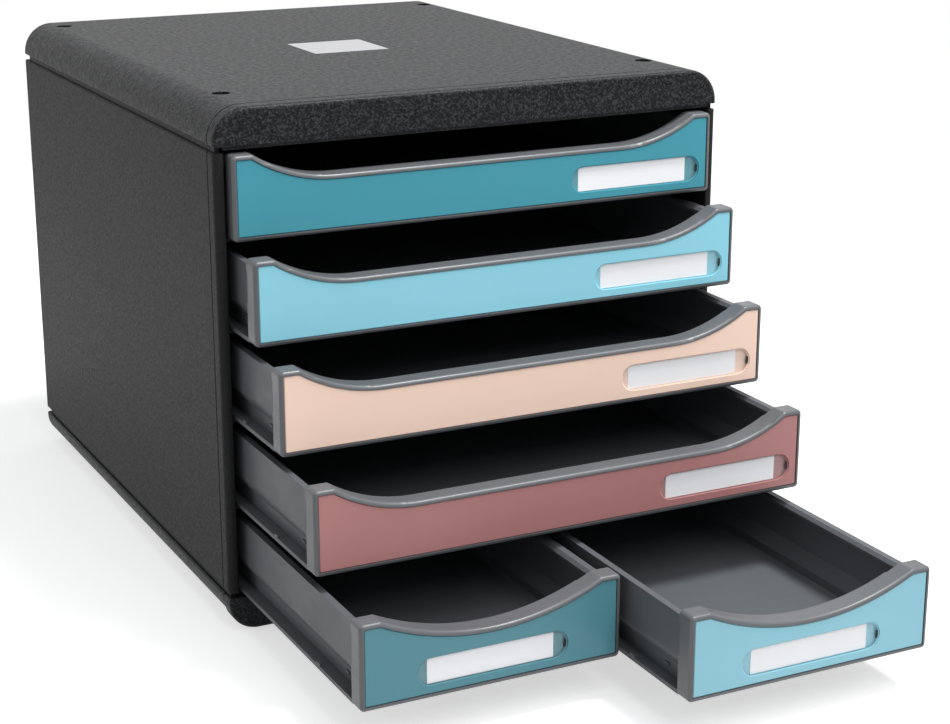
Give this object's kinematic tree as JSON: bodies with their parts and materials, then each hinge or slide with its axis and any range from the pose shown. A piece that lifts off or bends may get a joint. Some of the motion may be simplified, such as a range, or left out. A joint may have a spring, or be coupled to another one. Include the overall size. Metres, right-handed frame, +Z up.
{
  "type": "desktop drawer cabinet",
  "caption": "Desktop cabinet of stacked shallow drawers with coloured dipped fronts, label windows and a pair of half-width drawers.",
  "frame": {"origin": "centre of the cabinet's footprint on the surface it stands on", "axes": "+X to the right seen from the front, drawers pull out towards -Y, +Z up"},
  "size_m": [0.288, 0.5595, 0.274],
  "materials": {
    "cabinet_shell": "grained black moulded plastic",
    "cabinet_sides": "fine-grained black moulded plastic",
    "cover_plate": "pale silver plate",
    "foot_rubber": "matte black rubber",
    "drawer_grey": "satin grey moulded plastic",
    "tray_grey": "satin grey moulded plastic",
    "panel_teal": "satin teal plastic",
    "panel_light_blue": "satin light blue plastic",
    "panel_peach": "satin peach plastic",
    "panel_rose": "satin dusty rose plastic",
    "panel_deep_teal": "satin deep teal plastic",
    "panel_pale_blue": "satin pale blue plastic",
    "label_card": "matte white card",
    "label_window": "clear gloss plastic"
  },
  "bodies": {
    "cabinet": {"top_cover": "cabinet_shell", "cover_plate": "cover_plate", "base_tray": "cabinet_shell", "right_side_panel": "cabinet_sides", "left_side_panel": "cabinet_sides", "back_panel": "cabinet_sides", "center_divider": "cabinet_sides", "front_left_foot": "foot_rubber", "front_right_foot": "foot_rubber", "rear_left_foot": "foot_rubber", "rear_right_foot": "foot_rubber"},
    "drawer_1": {"drawer_1_tray": "tray_grey", "drawer_1_front_frame": "drawer_grey", "drawer_1_color_panel": "panel_teal", "drawer_1_label_card": "label_card", "drawer_1_label_window": "label_window"},
    "drawer_2": {"drawer_2_tray": "tray_grey", "drawer_2_front_frame": "drawer_grey", "drawer_2_color_panel": "panel_light_blue", "drawer_2_label_card": "label_card", "drawer_2_label_window": "label_window"},
    "drawer_3": {"drawer_3_tray": "tray_grey", "drawer_3_front_frame": "drawer_grey", "drawer_3_color_panel": "panel_peach", "drawer_3_label_card": "label_card", "drawer_3_label_window": "label_window"},
    "drawer_4": {"drawer_4_tray": "tray_grey", "drawer_4_front_frame": "drawer_grey", "drawer_4_color_panel": "panel_rose", "drawer_4_label_card": "label_card", "drawer_4_label_window": "label_window"},
    "drawer_5_left": {"drawer_5_left_tray": "tray_grey", "drawer_5_left_front_frame": "drawer_grey", "drawer_5_left_color_panel": "panel_deep_teal", "drawer_5_left_label_card": "label_card", "drawer_5_left_label_window": "label_window"},
    "drawer_5_right": {"drawer_5_right_tray": "tray_grey", "drawer_5_right_front_frame": "drawer_grey", "drawer_5_right_color_panel": "panel_pale_blue", "drawer_5_right_label_card": "label_card", "drawer_5_right_label_window": "label_window"}
  },
  "joints": [
    {"name": "drawer_1_slide", "type": "slide", "parent": "cabinet", "child": "drawer_1", "axis": [0, -1, 0], "range_m": [0, 0.262]},
    {"name": "drawer_2_slide", "type": "slide", "parent": "cabinet", "child": "drawer_2", "axis": [0, -1, 0], "range_m": [-0.0256, 0.2364]},
    {"name": "drawer_3_slide", "type": "slide", "parent": "cabinet", "child": "drawer_3", "axis": [0, -1, 0], "range_m": [-0.0555, 0.2065]},
    {"name": "drawer_4_slide", "type": "slide", "parent": "cabinet", "child": "drawer_4", "axis": [0, -1, 0], "range_m": [-0.095, 0.167]},
    {"name": "drawer_5_left_slide", "type": "slide", "parent": "cabinet", "child": "drawer_5_left", "axis": [0, -1, 0], "range_m": [-0.146, 0.116]},
    {"name": "drawer_5_right_slide", "type": "slide", "parent": "cabinet", "child": "drawer_5_right", "axis": [0, -1, 0], "range_m": [-0.2045, 0.0575]}
  ]
}
